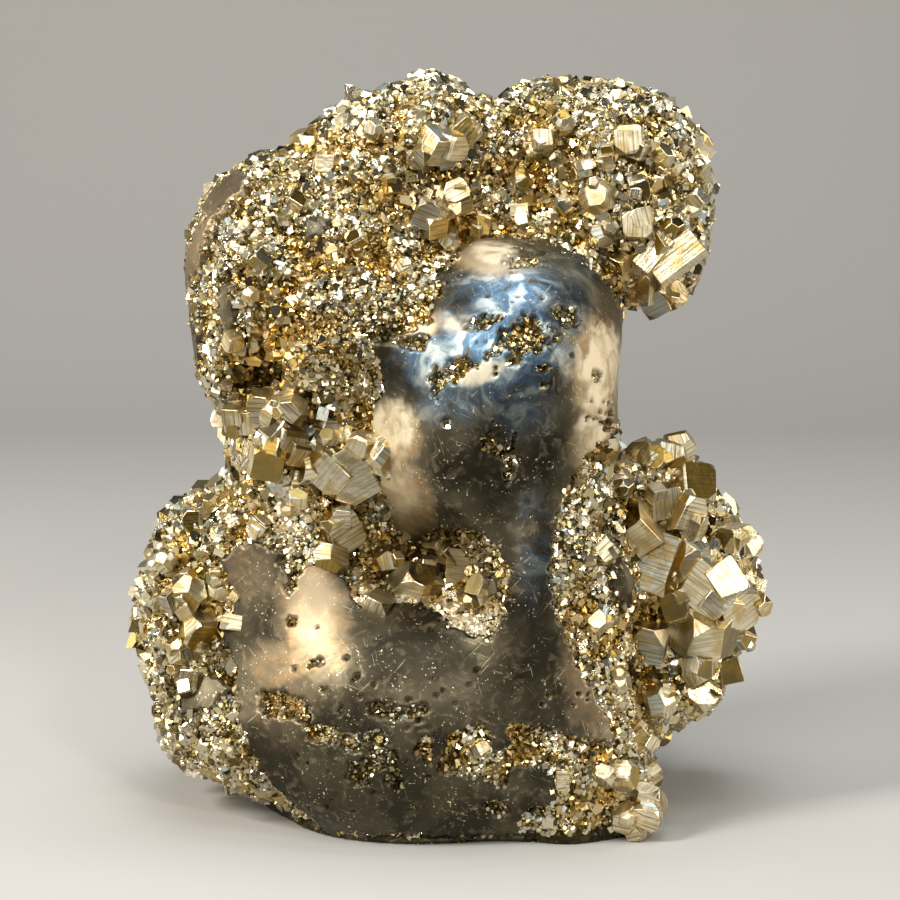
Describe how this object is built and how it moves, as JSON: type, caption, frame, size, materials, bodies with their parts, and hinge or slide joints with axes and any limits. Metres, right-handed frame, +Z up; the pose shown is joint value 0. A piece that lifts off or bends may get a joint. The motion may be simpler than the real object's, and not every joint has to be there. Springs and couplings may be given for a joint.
{
  "type": "pyrite specimen",
  "caption": "Free-standing brassy pyrite mass, ground and polished on its prominent fronts, with druse and larger cubic crystals between and a sawn flat foot.",
  "frame": {"origin": "centre of the bounding box's bottom, in the plane of the sawn foot that it rests on", "axes": "+Z up, the specimen's height; +X to the right as the polished front is looked at; +Y from the polished front to the back"},
  "size_m": [0.0846, 0.0632, 0.0963],
  "materials": {
    "pyrite_crystals": "bright flat crystal faces of pale brassy gold, finely striated",
    "pyrite_polished": "ground and polished bronze grey with faint blue and peach tarnish, swirl scratches and pits"
  },
  "bodies": {
    "root": {"pyrite_cluster": "pyrite_crystals"}
  },
  "joints": []
}
